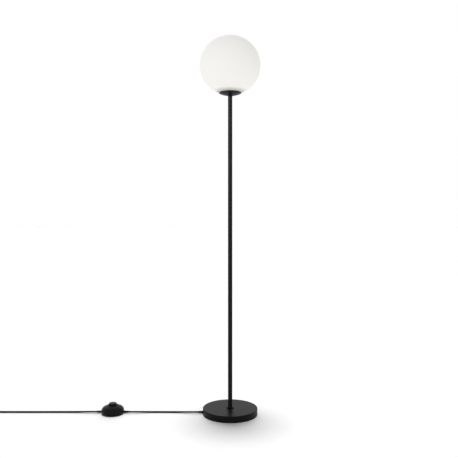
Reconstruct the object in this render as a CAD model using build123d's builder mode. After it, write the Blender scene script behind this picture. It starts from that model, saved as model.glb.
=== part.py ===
from build123d import *
from math import acos, atan2, cos, degrees, pi, radians, sin, sqrt, tan
import os

# Globe floor lamp: a slim pole on a weighted disc, an opal glass globe on a shallow dish,
# and a mains lead with a round foot switch. Millimetres, +Z up, origin on the floor under
# the pole. The lead leaves along -X.

os.makedirs("parts", exist_ok=True)

# ---------------------------------------------------------------- driving dimensions
# clearances
thread_gap = 0.05  # radial, between pieces screwed or slid into each other
seat_gap = 0.3  # between pieces that move or lie loosely beside each other
casting_gap = 0.6  # round the rough cast weight

# base
base_diameter = 225
base_height = 26
cover_wall = 1.5
cover_edge_radius = 2.5
cover_lift = 1.0
pad_thickness = 2.0
pad_inset = 2.5
weight_web = 5.0
weight_edge_chamfer = 1.5
recess_radius = 27
channel_width = 15
channel_headroom = 0.4

# pole
pole_diameter = 18
pole_wall = 1.5
pole_length = 1286
section_count = 3
joint_chamfer = 0.25
thread_depth = 16
collar_diameter = 30.5
collar_height = 3.5
collar_round = 1.0

# threaded studs, nuts and washers
stud_diameter = 13
stud_bore = 10.5
stud_reach = 14
stud_chamfer = 0.5
nut_across_flats = 17
nut_thickness = 4.5
nut_chamfer = 0.6
washer_diameter = 24
washer_thickness = 1.5

# dish, gasket, spring and glass
dish_diameter = 91
dish_depth = 12
dish_wall = 2.0
dish_lip = 2.0
dish_sag = 0.95
dish_rim_width = 1.0
dish_seat_radius = 10
shelf_drop = 1.5
shelf_inner_radius = 38.6
bowl_step = 0.7
gasket_thickness = 1.0
gasket_width = 4.0
globe_width = 250
globe_squash = 9
glass_thickness = 3.0
glass_edge_radius = 42.7
glass_opening_radius = 38.5
glass_edge_chamfer = 0.3
spring_strip = 0.6
spring_width = 9
spring_hub_radius = 10.5
spring_arms = 3
spring_grip_height = 11
spring_lead_in = 9
spring_lean = 3.5
spring_bend = 1.5
spring_top_bend = 4.0

# lampholder and lamp
holder_diameter = 41
holder_wall = 1.8
holder_height = 56
holder_cap_height = 26
holder_neck_radius = 10
holder_neck_height = 5
holder_flare_way = (0.95, 0.3)
holder_ribs = 24
insulator_radius = 15.5
insulator_height = 10
terminal_inset = 3.0
terminal_width = 5
terminal_depth = 7
terminal_length = 7
terminal_room = 0.5
shell_radius = 13.4
shell_wall = 0.4
shell_height = 24
shell_seat = 2
shell_turn_in = 1
lamp_cap_radius = 13.1
lamp_cap_height = 23
lamp_thread_pitch = 3.63
lamp_thread_depth = 0.7
lamp_thread_rings = 4
lamp_length = 106
lamp_diameter = 60
lamp_neck_radius = 14
lamp_housing_height = 44
housing_foot_way = (0.15, 1)
housing_top_way = (0.3, 1)
tip_radius = 8.0
contact_radius = 4.0
tip_height = 2.5
core_diameter = 2.2
core_bend = 3
core_clear = 1
core_drop = 2.5

# lead
cord_diameter = 7
cord_height = 7.0
lead_bend = 10
bushing_neck_radius = 4.2
bushing_flange_radius = 5.8
bushing_shoulder_radius = 5.0
bushing_flange = 2.0
bushing_tip_radius = 4.0
bushing_nose = 20
lead_joint_reach = 12
clamp_thickness = 1.4
clamp_length = 30
clamp_width = 9
clamp_distance = 70
screw_diameter = 3

# foot switch
switch_distance = 485
switch_radius = 46.3
switch_foot_radius = 41.3
switch_joint_radius = 45.6
switch_wall = 2.2
switch_pad_thickness = 1.5
switch_pad_radius = 40.5
switch_floor = 2.0
tray_sag = 0.6
tray_corner = 1.0
switch_side_top = 13
shoulder_radius = 18
shoulder_turn = 60
crown_height = 34.6
collar_top = 36.4
collar_outer_radius = 21.5
collar_thickness = 2.6
button_radius = 16.3
button_height = 44.0
button_gap = 0.5
button_wall = 2.0
button_travel = 3.5
button_round = 2.5
button_crown = 3.0
button_flange = 2.5
button_flange_thickness = 2.0
stem_radius = 4.0
block_length = 30
block_width = 22
block_height = 13
block_corner = 1.5
guide_radius = 7.0
guide_height = 6.0
return_wire = 1.2
return_radius = 9.5
return_turns = 5
boss_radius = 3.6
boss_circle = 36.5
boss_count = 4
boss_start = 45
switch_clamp_distance = 32

# lead outside: level at the switch, down to the floor, along it and up to the coil
nose_run = 25
drop_run = 58
floor_clear = 0.1
lead_sway = 8
floor_end = 57
rise_end = 29

# lead put away in a coil
coil_x = -1032
coil_lane = 4.5
coil_radius = 38.5
coil_lift = 1.1
coil_gap = 0.6
turns_inward = 1.75
turns_outward = 2.0
turn_back_dip = 1.9
coil_leg = 7.5
tail_level = 18
tail_drop = 24
tail_end = 18
tie_width = 10
tie_thickness = 1.0
tie_angle = 40
tie_gap = 0.2

# plug
plug_width = 35.3
plug_thickness = 13.7
plug_length = 36
plug_neck_width = 15
plug_neck_thickness = 11.5
plug_corner = 4.5
plug_neck_corner = 5.2
plug_waist = 16
plug_waist_width = 28.2
plug_waist_thickness = 13.2
relief_length = 28
relief_start_radius = 5.4
relief_end_radius = 4.1
relief_grooves = 4
pin_radius = 2.0
pin_core_radius = 1.4
pin_length = 19
pin_sleeve_length = 10
pin_spacing = 18.6
pin_tip_round = 1.2

# ---------------------------------------------------------------- derived sizes
base_radius = base_diameter / 2
cord_radius = cord_diameter / 2
pole_radius = pole_diameter / 2
stud_radius = stud_diameter / 2
weight_radius = base_radius - cover_wall - casting_gap
weight_height = base_height - cover_wall - pad_thickness
web_bottom = base_height - cover_wall - weight_web
channel_top = cord_height + cord_radius + channel_headroom
pole_top = base_height + pole_length
section_length = pole_length / section_count
dish_bottom = pole_top
dish_floor = dish_bottom + dish_wall
dish_rim = dish_bottom + dish_depth
dish_radius = dish_diameter / 2
shelf = dish_rim - shelf_drop
glass_bottom = shelf + gasket_thickness
globe_half_width = globe_width / 2
globe_half_height = (globe_width - globe_squash) / 2
globe_side_radius = globe_half_height**2 / globe_half_width
# the globe is a slightly flattened ball: a side arc, and a wider arc over the crown and under the foot
side_centre = globe_half_width - globe_side_radius
crown_excess = side_centre**2 + globe_half_height**2 - globe_side_radius**2
crown_radius = crown_excess / (2 * (globe_half_height - globe_side_radius))
crown_centre = crown_radius - globe_half_height
globe_centre = glass_bottom + sqrt(crown_radius**2 - glass_edge_radius**2) - crown_centre
ring_nut_bottom = dish_floor + spring_strip
holder_bottom = ring_nut_bottom + nut_thickness + seat_gap
holder_radius = holder_diameter / 2
insulator_bottom = holder_bottom + holder_cap_height - insulator_height
lamp_bottom = insulator_bottom + insulator_height + seat_gap
clearance_bore = stud_radius + thread_gap
cord_hole = cord_radius + thread_gap


# ---------------------------------------------------------------- shared forms
def threaded_stud(bottom, top):
    """Hollow threaded stud along the pole's axis."""
    with BuildPart() as stud:
        with BuildSketch(Plane.XY.offset(bottom)):
            Circle(stud_radius)
        extrude(amount=top - bottom)
        chamfer(stud.edges().filter_by(GeomType.CIRCLE), stud_chamfer)
        with BuildSketch(Plane.XY.offset(bottom)):
            Circle(stud_bore / 2)
        extrude(amount=top - bottom, mode=Mode.SUBTRACT)
    return stud


def hex_nut(bottom):
    """Thin hexagon nut on a stud, its corners turned off above and below."""
    corner_radius = nut_across_flats / sqrt(3)
    with BuildPart() as nut:
        with BuildSketch(Plane.XY.offset(bottom)):
            RegularPolygon(nut_across_flats / 2, 6, major_radius=False)
        extrude(amount=nut_thickness)
        with BuildSketch(Plane.XY.offset(bottom)):
            Circle(corner_radius)
        turned = extrude(amount=nut_thickness, mode=Mode.PRIVATE)
        turned = turned.chamfer(nut_chamfer, None, turned.edges().filter_by(GeomType.CIRCLE))
        add(turned, mode=Mode.INTERSECT)
        with BuildSketch(Plane.XY.offset(bottom)):
            Circle(clearance_bore)
        extrude(amount=nut_thickness, mode=Mode.SUBTRACT)
    return nut


def tube_along(path, radius):
    """Round tube along a wire."""
    with BuildPart() as tube:
        with BuildSketch(Plane(origin=path @ 0, z_dir=path % 0)):
            Circle(radius)
        sweep(path=path)
    return tube


def straight_cord(start_x, end_x, radius=cord_radius):
    """Straight length of cord along X at the height where the lead leaves the base."""
    with BuildPart() as cord:
        with BuildSketch(Plane.YZ.offset(start_x)):
            with Locations((0, cord_height)):
                Circle(radius)
        extrude(amount=end_x - start_x)
    return cord


def lead_sleeve(wall_outside, wall_inside, side):
    """Strain relief sleeve in a housing wall: flange inside, neck in the wall, tapered nose outside."""
    nose_end = wall_outside + side * bushing_nose
    flange_start = wall_inside - side * bushing_flange
    with BuildPart() as sleeve:
        with BuildSketch(Plane.XZ):
            with BuildLine():
                Polyline(
                    (flange_start, cord_height + cord_hole),
                    (flange_start, cord_height + bushing_flange_radius),
                    (wall_inside, cord_height + bushing_flange_radius),
                    (wall_inside, cord_height + bushing_neck_radius),
                    (wall_outside, cord_height + bushing_neck_radius),
                    (wall_outside, cord_height + bushing_shoulder_radius),
                    (nose_end, cord_height + bushing_tip_radius),
                    (nose_end, cord_height + cord_hole),
                    close=True,
                )
            make_face()
        revolve(axis=Axis((0, 0, cord_height), (1, 0, 0)))
    return sleeve


def saddle_clamp(distance, bottom):
    """Flat bar across the lead, held by a screw at each end."""
    with BuildPart() as clamp:
        with BuildSketch(Plane.XY.offset(bottom)):
            with Locations((distance, 0)):
                RectangleRounded(clamp_width, clamp_length, clamp_width / 4)
            with Locations(*clamp_holes(distance)):
                Circle(screw_diameter / 2 + thread_gap, mode=Mode.SUBTRACT)
        extrude(amount=clamp_thickness)
    return clamp


def clamp_holes(distance):
    """Centres of the two screws that hold a lead clamp."""
    reach = clamp_length / 2 - clamp_width / 2
    return [(distance, -reach), (distance, reach)]


def biarc(start, start_way, end, end_way):
    """Two arcs in space that join two points and keep the direction at both."""
    chord = end - start
    ways = start_way + end_way
    a = 2 * (1 - start_way.dot(end_way))
    b = 2 * chord.dot(ways)
    c = -chord.dot(chord)
    reach = -c / b if abs(a) < 1e-9 else (-b + sqrt(b * b - 4 * a * c)) / (2 * a)
    middle = (start + start_way * reach + end - end_way * reach) / 2
    first = TangentArc(start, middle, tangent=start_way)
    TangentArc(middle, end, tangent=first % 1)


def corner_radii(points):
    """Radius for each corner of a cord's route: as large as its two runs allow."""
    places = [Vector(*point) for point in points]
    radii = []
    for before, corner, after in zip(places, places[1:], places[2:]):
        run_in = corner - before
        run_out = after - corner
        half_turn = radians(run_in.get_angle(run_out)) / 2
        radii.append(0.45 * min(run_in.length, run_out.length) / tan(half_turn))
    return radii


def cord_along(points, name):
    """Cord along straight runs joined by tangent arcs; prints its radii and checks its volume."""
    radii = corner_radii(points)
    with BuildLine() as route:
        FilletPolyline(*points, radius=radii)
    cord = tube_along(route.wires()[0], cord_radius)
    length = route.wires()[0].length
    ratio = cord.part.volume / (pi * cord_radius**2 * length)
    print(f"{name}: length {length:.1f}, least radius {min(radii):.1f}, volume ratio {ratio:.4f}")
    return cord


# ---------------------------------------------------------------- base
with BuildPart() as base_pad:
    with BuildSketch(Plane.XY):
        Circle(base_radius - cover_wall - pad_inset)
    extrude(amount=pad_thickness)
base_pad.part.label = "base_pad"
export_step(base_pad.part, "parts/base_pad.step")

with BuildPart() as base_cover:
    with BuildSketch(Plane.XY.offset(cover_lift)):
        Circle(base_radius)
    extrude(amount=base_height - cover_lift)
    fillet(base_cover.faces().sort_by(Axis.Z)[-1].edges(), cover_edge_radius)
    offset(amount=-cover_wall, openings=base_cover.faces().sort_by(Axis.Z)[0])
    with BuildSketch(Plane.XY.offset(base_height)):
        Circle(clearance_bore)
    extrude(amount=-2 * cover_wall, mode=Mode.SUBTRACT)
    # notch in the skirt that drops over the lead bushing's neck
    notch_radius = bushing_neck_radius + thread_gap
    with BuildSketch(Plane.YZ.offset(-base_radius - cover_wall)):
        with Locations((0, cord_height)):
            Circle(notch_radius)
        with Locations((0, cord_height / 2)):
            Rectangle(2 * notch_radius, cord_height)
    extrude(amount=3 * cover_wall, mode=Mode.SUBTRACT)
base_cover.part.label = "base_cover"
export_step(base_cover.part, "parts/base_cover.step")

# the lead's clamp sits in the mouth of the channel under the weight
with BuildPart() as base_weight:
    with BuildSketch(Plane.XY.offset(pad_thickness)):
        Circle(weight_radius)
    extrude(amount=weight_height)
    chamfer(base_weight.faces().sort_by(Axis.Z)[-1].edges(), cover_edge_radius)
    chamfer(base_weight.faces().sort_by(Axis.Z)[0].edges(), weight_edge_chamfer)
    with BuildSketch(Plane.XY.offset(pad_thickness)):
        Circle(recess_radius)
    extrude(amount=web_bottom - pad_thickness, mode=Mode.SUBTRACT)
    with BuildSketch(Plane.XY.offset(pad_thickness)):
        with Locations((-weight_radius / 2, 0)):
            Rectangle(weight_radius, channel_width)
    extrude(amount=channel_top - pad_thickness, mode=Mode.SUBTRACT)
    # room for the bushing's flange at the channel's outer end
    flange_room = bushing_flange + casting_gap
    with BuildSketch(Plane.YZ.offset(-base_radius)):
        with Locations((0, cord_height)):
            Circle(bushing_flange_radius + casting_gap)
    extrude(amount=cover_wall + flange_room, mode=Mode.SUBTRACT)
    # pocket that takes the clamp bar flush
    with BuildSketch(Plane.XY.offset(pad_thickness)):
        with Locations((-clamp_distance, 0)):
            Rectangle(clamp_width + 2 * seat_gap, clamp_length + 2 * seat_gap)
    extrude(amount=cord_height - cord_radius - pad_thickness, mode=Mode.SUBTRACT)
    with BuildSketch(Plane.XY.offset(pad_thickness)):
        with Locations(*clamp_holes(-clamp_distance)):
            Circle(screw_diameter / 2 + thread_gap)
    extrude(amount=channel_top - pad_thickness, mode=Mode.SUBTRACT)
    with BuildSketch(Plane.XY.offset(pad_thickness)):
        Circle(clearance_bore)
    extrude(amount=weight_height, mode=Mode.SUBTRACT)
base_weight.part.label = "base_weight"
export_step(base_weight.part, "parts/base_weight.step")

base_washer_bottom = web_bottom - washer_thickness
base_nut_bottom = base_washer_bottom - nut_thickness
with BuildPart() as base_washer:
    with BuildSketch(Plane.XY.offset(base_washer_bottom)):
        Circle(washer_diameter / 2)
        Circle(clearance_bore, mode=Mode.SUBTRACT)
    extrude(amount=washer_thickness)
base_washer.part.label = "base_washer"
export_step(base_washer.part, "parts/base_washer.step")

base_nut = hex_nut(base_nut_bottom)
base_nut.part.label = "base_nut"
export_step(base_nut.part, "parts/base_nut.step")

base_stud = threaded_stud(base_nut_bottom, base_height + stud_reach)
base_stud.part.label = "base_stud"
export_step(base_stud.part, "parts/base_stud.step")

base_bushing = lead_sleeve(-base_radius, -base_radius + cover_wall + seat_gap, -1)
base_bushing.part.label = "base_bushing"
export_step(base_bushing.part, "parts/base_bushing.step")

base_clamp_bottom = cord_height - cord_radius - clamp_thickness
base_clamp = saddle_clamp(-clamp_distance, base_clamp_bottom)
base_clamp.part.label = "base_lead_clamp"
export_step(base_clamp.part, "parts/base_lead_clamp.step")

# ---------------------------------------------------------------- pole
pole_names = ["pole_lower", "pole_middle", "pole_upper"]
for index, name in enumerate(pole_names):
    section_bottom = base_height + index * section_length
    with BuildPart() as pole_section:
        with BuildSketch(Plane.XY.offset(section_bottom)):
            Circle(pole_radius)
        extrude(amount=section_length)
        chamfer(pole_section.edges().filter_by(GeomType.CIRCLE), joint_chamfer)
        with BuildSketch(Plane.XY.offset(section_bottom)):
            Circle(clearance_bore)
        extrude(amount=section_length, mode=Mode.SUBTRACT)
        with BuildSketch(Plane.XY.offset(section_bottom + thread_depth)):
            Circle(pole_radius - pole_wall)
        extrude(amount=section_length - 2 * thread_depth, mode=Mode.SUBTRACT)
    pole_section.part.label = name
    export_step(pole_section.part, f"parts/{name}.step")

coupler_names = ["lower_coupler", "upper_coupler"]
for index, name in enumerate(coupler_names):
    joint_height = base_height + (index + 1) * section_length
    coupler = threaded_stud(joint_height - stud_reach, joint_height + stud_reach)
    coupler.part.label = name
    export_step(coupler.part, f"parts/{name}.step")

with BuildPart() as foot_collar:
    with BuildSketch(Plane.XY.offset(base_height)):
        Circle(collar_diameter / 2)
    extrude(amount=collar_height)
    fillet(foot_collar.faces().sort_by(Axis.Z)[-1].edges(), collar_round)
    with BuildSketch(Plane.XY.offset(base_height)):
        Circle(pole_radius + thread_gap)
    extrude(amount=collar_height, mode=Mode.SUBTRACT)
foot_collar.part.label = "foot_collar"
export_step(foot_collar.part, "parts/foot_collar.step")

# ---------------------------------------------------------------- dish and globe
seat_to_lip = dish_radius - dish_seat_radius
inner_seat_radius = dish_seat_radius + dish_wall
with BuildPart() as globe_dish:
    with BuildSketch(Plane.XZ):
        with BuildLine():
            outer_seat = Line((clearance_bore, dish_bottom), (dish_seat_radius, dish_bottom))
            outer_bowl = SagittaArc(outer_seat @ 1, (dish_radius, dish_rim - dish_lip), -dish_sag)
            Polyline(
                outer_bowl @ 1,
                (dish_radius, dish_rim - dish_rim_width / 3),
                (dish_radius - dish_rim_width / 3, dish_rim),
                (dish_radius - dish_rim_width, dish_rim),
                (dish_radius - dish_rim_width, shelf),
                (shelf_inner_radius, shelf),
            )
            bowl_top = shelf - bowl_step
            Line((shelf_inner_radius, shelf), (shelf_inner_radius, bowl_top))
            SagittaArc((shelf_inner_radius, bowl_top), (inner_seat_radius, dish_floor), dish_sag)
            Polyline(
                (inner_seat_radius, dish_floor),
                (clearance_bore, dish_floor),
                (clearance_bore, dish_bottom),
            )
        make_face()
    revolve(axis=Axis.Z)
globe_dish.part.label = "globe_dish"
export_step(globe_dish.part, "parts/globe_dish.step")

with BuildPart() as globe_gasket:
    with BuildSketch(Plane.XY.offset(shelf)):
        Circle(shelf_inner_radius + gasket_width)
        Circle(shelf_inner_radius + thread_gap, mode=Mode.SUBTRACT)
    extrude(amount=gasket_thickness)
globe_gasket.part.label = "globe_gasket"
export_step(globe_gasket.part, "parts/globe_gasket.step")


def globe_outline(inset, foot_radius):
    """Half outline of the globe from its foot to its crown, drawn in by inset; gives both ends."""
    side = globe_side_radius - inset
    crown = crown_radius - inset
    join_turn = degrees(acos(side_centre / (crown_radius - globe_side_radius)))
    foot_turn = degrees(acos(foot_radius / crown))
    foot = CenterArc((0, globe_centre + crown_centre), crown, -foot_turn, foot_turn - join_turn)
    CenterArc((side_centre, globe_centre), side, -join_turn, 2 * join_turn)
    over = CenterArc((0, globe_centre - crown_centre), crown, join_turn, 90 - join_turn)
    return foot @ 0, over @ 1


with BuildPart() as glass_globe:
    with BuildSketch(Plane.XZ):
        with BuildLine():
            outer_foot, outer_crown = globe_outline(0, glass_edge_radius)
            inner_foot, inner_crown = globe_outline(glass_thickness, glass_opening_radius)
            Line(outer_crown, inner_crown)
            Polyline(outer_foot, (glass_opening_radius, glass_bottom), inner_foot)
        make_face()
    revolve(axis=Axis.Z)
    chamfer(glass_globe.faces().sort_by(Axis.Z)[0].edges(), glass_edge_chamfer)
glass_globe.part.label = "glass_globe"
export_step(glass_globe.part, "parts/glass_globe.step")

# Leaf spring: three arms climb the bowl and press on the glass opening from inside.
# The strip's centre line is drawn in the XZ plane and given its thickness and width.
grip_radius = glass_opening_radius - seat_gap - spring_strip / 2
strip_height = dish_floor + spring_strip / 2
grip_start = shelf + spring_strip
grip_end = shelf + spring_grip_height
with BuildPart() as spring_arm:
    with BuildSketch(Plane.XZ):
        with BuildLine():
            arm_line = FilletPolyline(
                (spring_hub_radius - spring_strip, strip_height),
                (spring_hub_radius + spring_strip, strip_height),
                (grip_radius, grip_start),
                (grip_radius, grip_end),
                (grip_radius - spring_lean, grip_end + spring_lead_in),
                radius=[spring_bend, spring_bend, spring_top_bend],
            )
            offset(arm_line, amount=spring_strip / 2, side=Side.BOTH)
        make_face()
    extrude(amount=spring_width / 2, both=True)

with BuildPart() as globe_spring:
    with BuildSketch(Plane.XY.offset(dish_floor)):
        Circle(spring_hub_radius)
    extrude(amount=spring_strip)
    with PolarLocations(0, spring_arms):
        add(spring_arm.part)
    with BuildSketch(Plane.XY.offset(dish_floor)):
        Circle(clearance_bore)
    extrude(amount=spring_strip, mode=Mode.SUBTRACT)
globe_spring.part.label = "globe_spring"
export_step(globe_spring.part, "parts/globe_spring.step")

ring_nut = hex_nut(ring_nut_bottom)
ring_nut.part.label = "ring_nut"
export_step(ring_nut.part, "parts/ring_nut.step")

top_stud = threaded_stud(pole_top - stud_reach, holder_bottom + holder_neck_height + holder_wall)
top_stud.part.label = "top_stud"
export_step(top_stud.part, "parts/top_stud.step")

# ---------------------------------------------------------------- lampholder
cap_top = holder_bottom + holder_cap_height
holder_top = holder_bottom + holder_height
with BuildPart() as holder_cap:
    with BuildSketch(Plane.XZ):
        with BuildLine():
            neck = Polyline(
                (clearance_bore, holder_bottom),
                (holder_neck_radius, holder_bottom),
                (holder_neck_radius, holder_bottom + holder_neck_height),
            )
            flare_end = (holder_radius, holder_bottom + holder_cap_height / 2)
            flare = TangentArc(neck @ 1, flare_end, tangent=holder_flare_way)
            Polyline(
                flare @ 1,
                (holder_radius, cap_top),
                (holder_radius - holder_wall, cap_top),
                (holder_radius - holder_wall, holder_bottom + holder_cap_height / 2 + holder_wall),
                (holder_neck_radius, holder_bottom + holder_neck_height + holder_wall),
                (clearance_bore, holder_bottom + holder_neck_height + holder_wall),
                (clearance_bore, holder_bottom),
            )
        make_face()
    revolve(axis=Axis.Z)
holder_cap.part.label = "lampholder_cap"
export_step(holder_cap.part, "parts/lampholder_cap.step")

with BuildPart() as holder_skirt:
    with BuildSketch(Plane.XY.offset(cap_top)):
        Circle(holder_radius)
        Circle(holder_radius - holder_wall, mode=Mode.SUBTRACT)
    extrude(amount=holder_top - cap_top)
    fillet(holder_skirt.faces().sort_by(Axis.Z)[-1].edges(), holder_wall / 4)
    # grip ribs round the lower half of the skirt
    with BuildSketch(Plane.XY.offset(cap_top)):
        with PolarLocations(holder_radius, holder_ribs):
            Circle(holder_wall / 3)
        Circle(holder_radius - holder_wall / 2, mode=Mode.SUBTRACT)
    extrude(amount=(holder_top - cap_top) / 2)
    # inner ledge that traps the insulator
    with BuildSketch(Plane.XY.offset(cap_top)):
        Circle(holder_radius - holder_wall)
        Circle(insulator_radius + thread_gap, mode=Mode.SUBTRACT)
    extrude(amount=holder_wall)
holder_skirt.part.label = "lampholder_skirt"
export_step(holder_skirt.part, "parts/lampholder_skirt.step")

# the insulator fills the cap's mouth and carries the shell, the contact and two terminals
terminal_reach = insulator_radius - terminal_inset
with BuildPart() as holder_insulator:
    with BuildSketch(Plane.XY.offset(insulator_bottom)):
        Circle(insulator_radius)
    extrude(amount=insulator_height)
    chamfer(holder_insulator.faces().sort_by(Axis.Z)[0].edges(), terminal_room)
    with BuildSketch(Plane.XY.offset(insulator_bottom)):
        with Locations((-terminal_reach, 0), (terminal_reach, 0)):
            Rectangle(terminal_width + 2 * terminal_room, terminal_depth + 2 * terminal_room)
    extrude(amount=terminal_length, mode=Mode.SUBTRACT)
    with BuildSketch(Plane.XY.offset(insulator_bottom + insulator_height)):
        Circle(shell_radius + shell_wall + thread_gap)
        Circle(shell_radius - thread_gap - shell_turn_in, mode=Mode.SUBTRACT)
    extrude(amount=-shell_seat, mode=Mode.SUBTRACT)
    # flange that rests on the cap's rim
    with BuildSketch(Plane.XY.offset(cap_top - holder_wall)):
        Circle(holder_radius - holder_wall - thread_gap)
        Circle(insulator_radius, mode=Mode.SUBTRACT)
    extrude(amount=holder_wall)
holder_insulator.part.label = "lampholder_insulator"
export_step(holder_insulator.part, "parts/lampholder_insulator.step")

with BuildPart() as screw_shell:
    with BuildSketch(Plane.XY.offset(cap_top - shell_seat)):
        Circle(shell_radius + shell_wall)
        Circle(shell_radius, mode=Mode.SUBTRACT)
    extrude(amount=shell_height)
    with BuildSketch(Plane.XY.offset(cap_top - shell_seat)):
        Circle(shell_radius)
        Circle(shell_radius - shell_turn_in, mode=Mode.SUBTRACT)
    extrude(amount=shell_wall)
screw_shell.part.label = "screw_shell"
export_step(screw_shell.part, "parts/screw_shell.step")

with BuildPart() as holder_terminals:
    with BuildSketch(Plane.XY.offset(insulator_bottom)):
        with Locations((-terminal_reach, 0), (terminal_reach, 0)):
            Rectangle(terminal_width, terminal_depth)
    extrude(amount=terminal_length)
    with BuildSketch(Plane.XY.offset(insulator_bottom)):
        with Locations((-terminal_reach, 0), (terminal_reach, 0)):
            Circle(core_diameter / 2 + thread_gap)
    extrude(amount=terminal_length / 2, mode=Mode.SUBTRACT)
holder_terminals.part.label = "lampholder_terminals"
export_step(holder_terminals.part, "parts/lampholder_terminals.step")

# ---------------------------------------------------------------- lamp
cap_base = lamp_bottom + tip_height
lamp_cap_top = cap_base + lamp_cap_height
lamp_top = lamp_bottom + lamp_length
lamp_radius = lamp_diameter / 2
housing_top = lamp_cap_top + lamp_housing_height
with BuildPart() as lamp_tip:
    with BuildSketch(Plane.XZ):
        with BuildLine():
            Polyline(
                (0, lamp_bottom),
                (contact_radius, lamp_bottom),
                (tip_radius, cap_base),
                (0, cap_base),
                close=True,
            )
        make_face()
    revolve(axis=Axis.Z)
lamp_tip.part.label = "lamp_tip"
export_step(lamp_tip.part, "parts/lamp_tip.step")

# screw cap with its round thread drawn as rings
with BuildPart() as lamp_cap:
    with BuildSketch(Plane.XY.offset(cap_base)):
        Circle(lamp_cap_radius)
    extrude(amount=lamp_cap_height)
    chamfer(lamp_cap.faces().sort_by(Axis.Z)[0].edges(), 2 * lamp_thread_depth)
    with BuildSketch(Plane.XZ):
        for ring in range(lamp_thread_rings):
            with Locations((lamp_cap_radius, cap_base + (ring + 1) * lamp_thread_pitch)):
                Circle(lamp_thread_depth)
    revolve(axis=Axis.Z, mode=Mode.SUBTRACT)
lamp_cap.part.label = "lamp_cap"
export_step(lamp_cap.part, "parts/lamp_cap.step")

with BuildPart() as lamp_housing:
    with BuildSketch(Plane.XZ):
        with BuildLine():
            flank = Spline(
                (lamp_neck_radius, lamp_cap_top),
                (lamp_radius, housing_top),
                tangents=(housing_foot_way, housing_top_way),
            )
            Polyline(flank @ 1, (0, housing_top), (0, lamp_cap_top), flank @ 0)
        make_face()
    revolve(axis=Axis.Z)
lamp_housing.part.label = "lamp_housing"
export_step(lamp_housing.part, "parts/lamp_housing.step")

with BuildPart() as lamp_diffuser:
    with BuildSketch(Plane.XZ):
        with BuildLine():
            wall_top = lamp_top - lamp_radius
            wall = Line((lamp_radius, housing_top), (lamp_radius, wall_top))
            dome = TangentArc(wall @ 1, (0, lamp_top), tangent=(0, 1))
            Polyline(dome @ 1, (0, housing_top), wall @ 0)
        make_face()
    revolve(axis=Axis.Z)
lamp_diffuser.part.label = "lamp_diffuser"
export_step(lamp_diffuser.part, "parts/lamp_diffuser.step")

with BuildPart() as centre_contact:
    with BuildSketch(Plane.XY.offset(insulator_bottom + insulator_height)):
        Circle(contact_radius)
    extrude(amount=seat_gap)
centre_contact.part.label = "centre_contact"
export_step(centre_contact.part, "parts/centre_contact.step")

# ---------------------------------------------------------------- lead inside the lamp
sheath_end = pole_top - 2 * stud_reach
lead_joint = -base_radius - lead_joint_reach
with BuildLine() as lead_route:
    FilletPolyline(
        (lead_joint, 0, cord_height),
        (0, 0, cord_height),
        (0, 0, sheath_end),
        radius=lead_bend,
    )
inner_lead = tube_along(lead_route.wires()[0], cord_radius)
inner_lead.part.label = "inner_lead"
export_step(inner_lead.part, "parts/inner_lead.step")

# two cores go on through the stud and spread to the lampholder's terminals
core_split = core_diameter / 2 + thread_gap
fan_out = top_stud.part.bounding_box().max.Z
with BuildPart() as lead_cores:
    for side in (-1, 1):
        with BuildLine() as core_route:
            FilletPolyline(
                (side * core_split, 0, sheath_end),
                (side * core_split, 0, fan_out + core_clear),
                (side * terminal_reach, 0, insulator_bottom - core_drop),
                (side * terminal_reach, 0, insulator_bottom + terminal_length / 2),
                radius=core_bend,
            )
        core_wire = core_route.wires()[0]
        with BuildSketch(Plane(origin=core_wire @ 0, z_dir=core_wire % 0)):
            Circle(core_diameter / 2)
        sweep(path=core_wire)
lead_cores.part.label = "lead_cores"
export_step(lead_cores.part, "parts/lead_cores.step")

with BuildPart() as base_clamp_screws:
    with BuildSketch(Plane.XY.offset(base_clamp_bottom)):
        with Locations(*clamp_holes(-clamp_distance)):
            Circle(screw_diameter / 2)
    extrude(amount=channel_top - base_clamp_bottom - seat_gap)
base_clamp_screws.part.label = "base_clamp_screws"
export_step(base_clamp_screws.part, "parts/base_clamp_screws.step")

# ---------------------------------------------------------------- foot switch
switch_centre = Plane.XZ.offset(0).move(Location((-switch_distance, 0, 0)))
switch_axis = Axis((-switch_distance, 0, 0), (0, 0, 1))
tray_bottom = switch_pad_thickness
tray_inside = tray_bottom + switch_floor
shoulder_centre = switch_radius - shoulder_radius
turn = radians(shoulder_turn)


def on_floor_plan(height):
    """Horizontal plane over the middle of the foot switch."""
    return Plane.XY.offset(height).move(Location((-switch_distance, 0, 0)))


with BuildPart() as switch_pad:
    with BuildSketch(on_floor_plan(0)):
        Circle(switch_pad_radius)
    extrude(amount=switch_pad_thickness)
switch_pad.part.label = "switch_pad"
export_step(switch_pad.part, "parts/switch_pad.step")

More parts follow.
